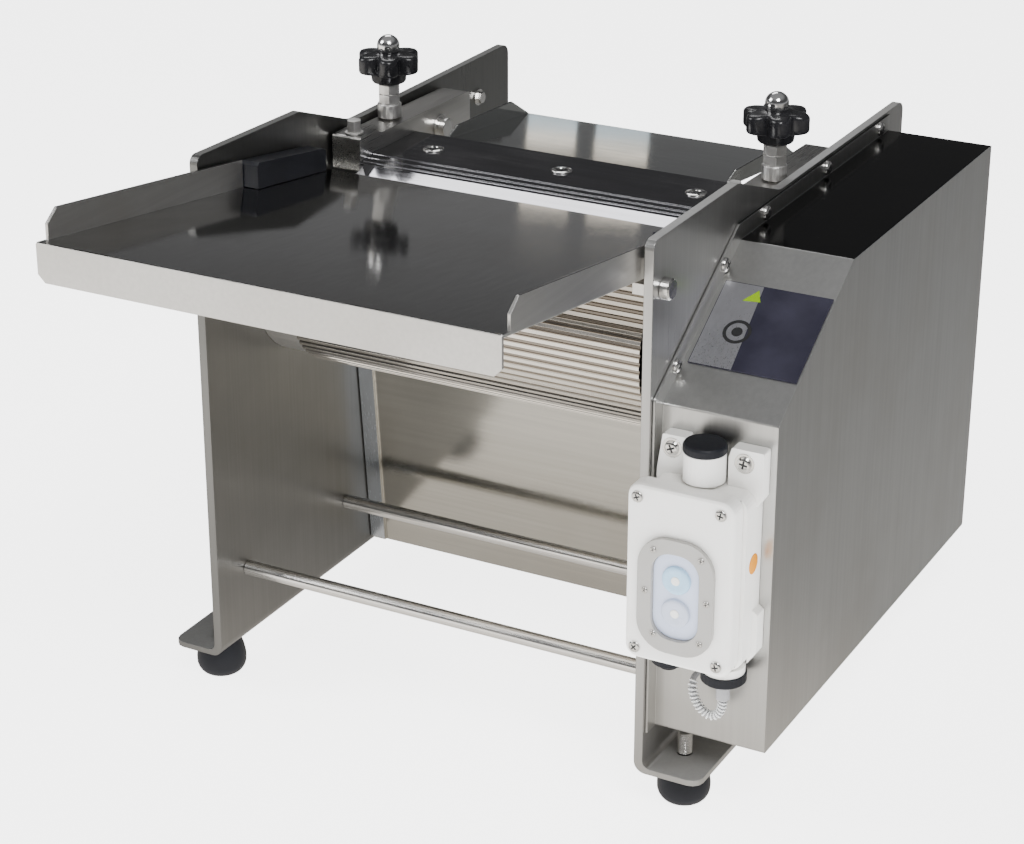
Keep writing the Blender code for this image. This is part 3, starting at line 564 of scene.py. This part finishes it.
def plate_details():
    """Screws of the cover flange and the bar, the bright edges of the rear panel and the chute bolts."""
    for k, spot in enumerate([(166.3, 328.0), (271.5, 328.0), (371.9, 328.0), (102.0, 313.0)]):
        name = f"flange_screw_{k + 1}"
        pan_screws(name, [spot], frame_x, FLANGE_FACE + 0.1, 1.0, 4.9, 3.0)
        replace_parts(bpy.data.objects[name], f"cover_screw_{k + 1}")
    pan_screws("flange_screw_low", [(32.6, 269.6)], frame_x, FLANGE_FACE + 0.1, 1.0, 4.6, 2.8)
    dished = [(319.22, 7.4), (319.75, 7.4), (320.1, 6.9), (320.15, 4.0), (319.6, 3.6), (319.6, 0.5)]
    for k, x in enumerate(HOLDER_SCREWS):
        head, slot = bmesh.new(), bmesh.new()
        turned(head, x, HOLDER_SCREW_Y, dished, frame_z, 56)
        name = f"clamp_screw_{k + 1}"
        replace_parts(piece(name, head, plated, "holder"), f"holder_screw_{k + 1}")
        # Painted shade: a dark solid fills each clamp screw's cross recess in place of the shade inside it.
        prism(slot, cross(x, HOLDER_SCREW_Y, 6.6, 0.9, 0.3 + k), frame_z, 319.9, 320.17)
        piece(name + "_recess", slot, black_and_painted_recess_shade, "holder", smooth=False)
    run = [(201.9, 4.0), (188.65, 150.0), (186.45, 187.5), (186.2, 187.5), (188.4, 150.0), (201.65, 4.0)]
    bolt_y, bolt_z, reach = 374.6, 304.5, 4.6
    corner = math.pi / 3.0
    hexagon = [(bolt_y + reach * math.cos(k * corner), bolt_z + reach * math.sin(k * corner))
               for k in range(6)]
    for side, sign in SIDES:
        strip = bmesh.new()
        prism(strip, run, frame_x, *sorted((sign * 147.4, sign * 159.0)))
        piece(f"{side}_edge_strip", strip, strip_steel, "frame", smooth=False)
        bolt = bmesh.new()
        prism(bolt, hexagon, frame_x, *sorted((sign * 159.9, sign * 155.6)))
        turned(bolt, bolt_y, bolt_z, [(sign * 159.95, 6.4), (sign * 158.9, 6.4)], frame_x, 40)
        piece(f"{side}_chute_bolt", bolt, plated, "frame")


def label_details():
    """Plain two-tone label with a bare triangle and ring; it carries no words."""
    run = (LABEL_END - LABEL_START).normalized()
    out = Vector((-run.y, run.x))

    def lie(x, a, h):
        spot = LABEL_START + run * a + out * h
        return (x, spot.x, spot.y)

    def flat(name, points, low, high, mat):
        bm = bmesh.new()
        loft(bm, [[lie(x, a, h) for x, a in points] for h in (low, high)])
        piece(name, bm, mat, "frame", smooth=False)

    light = [(171.4, 33.4), (200.0, 33.4), (197.0, 99.1), (171.4, 99.1)]
    ring_x, ring_a = 193.0, 62.0
    flat("label_light", light, 0.9, 0.93, label_silver)
    flat("label_triangle", [(187.0, 86.0), (199.0, 87.0), (195.0, 96.0)], 0.93, 0.97, sign_green)
    ring = bmesh.new()
    rows = []
    for h, r in ((0.93, 9.2), (0.97, 9.2), (0.97, 6.9), (0.93, 6.9)):
        rows.append([ring.verts.new(lie(ring_x + r * math.cos(t), ring_a + r * math.sin(t), h))
                     for t in (k * math.pi / 28.0 for k in range(56))])
    for k in range(4):
        now, after = rows[k], rows[(k + 1) % 4]
        for i in range(56):
            j = (i + 1) % 56
            ring.faces.new((now[i], now[j], after[j], after[i]))
    piece("label_ring", ring, black_and_painted_recess_shade, "frame")
    turns = [k * math.pi / 16.0 for k in range(32)]
    hub = [(ring_x + 3.6 * math.cos(t), ring_a + 3.6 * math.sin(t)) for t in turns]
    flat("label_hub", hub, 0.93, 0.97, black_and_painted_recess_shade)


switch_details()
lead_details()
knob_details()
feet_details()
plate_details()
label_details()


# ---------------------------------------------------------------- stage, light and camera

def sheet(name, half_x, half_y):
    """Flat rectangle round the origin."""
    mesh = bpy.data.meshes.new(name)
    ring = [(-half_x, -half_y, 0), (half_x, -half_y, 0), (half_x, half_y, 0), (-half_x, half_y, 0)]
    mesh.from_pydata(ring, [], [(0, 1, 2, 3)])
    obj = bpy.data.objects.new(name, mesh)
    bpy.context.scene.collection.objects.link(obj)
    return obj


def aim(obj, location, target):
    obj.location = location
    direction = Vector(target) - Vector(location)
    obj.rotation_euler = direction.to_track_quat("-Z", "Y").to_euler()


def floor():
    """Pale floor; metal sees it as brighter in front than behind and fading to the right."""
    obj = sheet("stage_floor", 6.0, 6.0)
    mat, tree, shader = fresh("stage_floor")
    shader.inputs["Roughness"].default_value = 0.9
    shader.inputs["Specular IOR Level"].default_value = 0.1
    tone = noise(tree, scaled(tree, (1.0, 1.0, 1.0)), 2.0, 2.0, 0.5)
    pale = mix_colour(tree, tone, (0.93, 0.93, 0.93), (0.96, 0.96, 0.955))
    tree.links.new(pale, shader.inputs["Base Color"])
    shader.inputs["Emission Color"].default_value = (1.0, 1.0, 1.0, 1.0)
    shader.inputs["Emission Strength"].default_value = 4.0
    mirror = node(tree, "ShaderNodeEmission")
    coords = node(tree, "ShaderNodeTexCoord")
    split = node(tree, "ShaderNodeSeparateXYZ")
    tree.links.new(coords.outputs["Object"], split.inputs["Vector"])
    ramp = node(tree, "ShaderNodeValToRGB")
    tree.links.new(remap(tree, split.outputs["Y"], 0.0, 1.0, -1.0, 1.0), ramp.inputs["Fac"])
    first, last = ramp.color_ramp.elements
    first.position, first.color = 0.30, (1.9, 1.82, 1.7, 1.0)
    last.position, last.color = 0.95, (0.26, 0.26, 0.255, 1.0)
    middle = ramp.color_ramp.elements.new(0.60)
    middle.color = (0.34, 0.33, 0.31, 1.0)
    near = ramp.color_ramp.elements.new(0.48)
    near.color = (0.8, 0.74, 0.66, 1.0)
    tree.links.new(ramp.outputs["Color"], mirror.inputs["Color"])
    fade = remap(tree, split.outputs["X"], 1.0, 0.25, 0.30, 0.85)
    tree.links.new(fade, mirror.inputs["Strength"])
    path = node(tree, "ShaderNodeLightPath")
    pick = node(tree, "ShaderNodeMixShader")
    tree.links.new(path.outputs["Is Glossy Ray"], pick.inputs[0])
    tree.links.new(shader.outputs[0], pick.inputs[1])
    tree.links.new(mirror.outputs[0], pick.inputs[2])
    tree.links.new(pick.outputs[0], tree.nodes["Material Output"].inputs["Surface"])
    obj.data.materials.append(mat)


def world():
    """Bright overhead and pale low down, with a dark band between, as in a studio with a dark back wall."""
    scene = bpy.context.scene
    scene.world = bpy.data.worlds.new("studio")
    scene.world.use_nodes = True
    tree = scene.world.node_tree
    background = tree.nodes["Background"]
    coords = node(tree, "ShaderNodeTexCoord")
    split = node(tree, "ShaderNodeSeparateXYZ")
    tree.links.new(coords.outputs["Generated"], split.inputs["Vector"])
    ramp = node(tree, "ShaderNodeValToRGB")
    tree.links.new(remap(tree, split.outputs["Z"], 0.0, 1.0, -1.0, 1.0), ramp.inputs["Fac"])
    stops = ((0.0, 0.7), (0.5, 0.35), (0.535, 0.22), (0.58, 0.07), (0.74, 0.07), (0.82, 0.18), (0.88, 0.26),
             (1.0, 0.28))
    ramp.color_ramp.elements[0].position = stops[0][0]
    ramp.color_ramp.elements[0].color = (stops[0][1],) * 3 + (1.0,)
    ramp.color_ramp.elements[1].position = stops[-1][0]
    ramp.color_ramp.elements[1].color = (stops[-1][1],) * 3 + (1.0,)
    for position, level in stops[1:-1]:
        element = ramp.color_ramp.elements.new(position)
        element.color = (level, level, level * 1.02, 1.0)
    path = node(tree, "ShaderNodeLightPath")
    shade = mix_colour(tree, path.outputs["Is Camera Ray"], ramp.outputs["Color"], (8.0, 8.0, 8.0))
    tree.links.new(shade, background.inputs["Color"])
    background.inputs["Strength"].default_value = 1.0


def card(name, location, target, size, strength, colour=(1.0, 1.0, 1.0)):
    """Glowing panel that only shows in reflections, like a studio window."""
    obj = sheet(name, size[0] / 2.0, size[1] / 2.0)
    aim(obj, location, target)
    mat, _, shader = fresh(name)
    shader.inputs["Base Color"].default_value = (0.0, 0.0, 0.0, 1.0)
    shader.inputs["Emission Color"].default_value = (*colour, 1.0)
    shader.inputs["Emission Strength"].default_value = strength
    obj.data.materials.append(mat)
    obj.visible_camera = False
    obj.visible_diffuse = False
    obj.visible_shadow = False


def area(name, location, power):
    """Soft light 1.2 m square, aimed at the machine."""
    light = bpy.data.lights.new(name, "AREA")
    light.shape = "RECTANGLE"
    light.size, light.size_y = 1.2, 1.2
    light.energy = power
    obj = bpy.data.objects.new(name, light)
    bpy.context.scene.collection.objects.link(obj)
    aim(obj, location, (0, 0, 0.2))


def camera():
    """Long lens from the front right and above."""
    data = bpy.data.cameras.new("view_camera")
    data.lens = 91.36
    data.sensor_width = 36.0
    obj = bpy.data.objects.new("view_camera", data)
    bpy.context.scene.collection.objects.link(obj)
    aim(obj, place(776.68, -1316.2, 880.69), place(70.73, 0.0, 224.11))
    bpy.context.scene.camera = obj


floor()
world()
area("key", (1.4, -1.6, 2.6), 75.0)
area("fill", (-2.2, -1.4, 2.0), 45.0)
for side, x, width, low, high in (("left", -0.3004, 0.0454, 1.5, 1.9), ("right", -0.2288, 0.0485, 1.4, 1.8)):
    chute = (0, 0.18, 0.35)
    card(f"window_{side}_low", (x, 0.625, 0.3845), chute, (width, 0.021), low, (0.66, 0.78, 0.86))
    card(f"window_{side}_high", (x, 0.625, 0.4035), chute, (width, 0.017), high, (1.0, 0.9, 0.76))
card("back_panel", (-1.3, 1.9, 2.45), (0, 0, 0.35), (1.3, 0.8), 5.5)
camera()
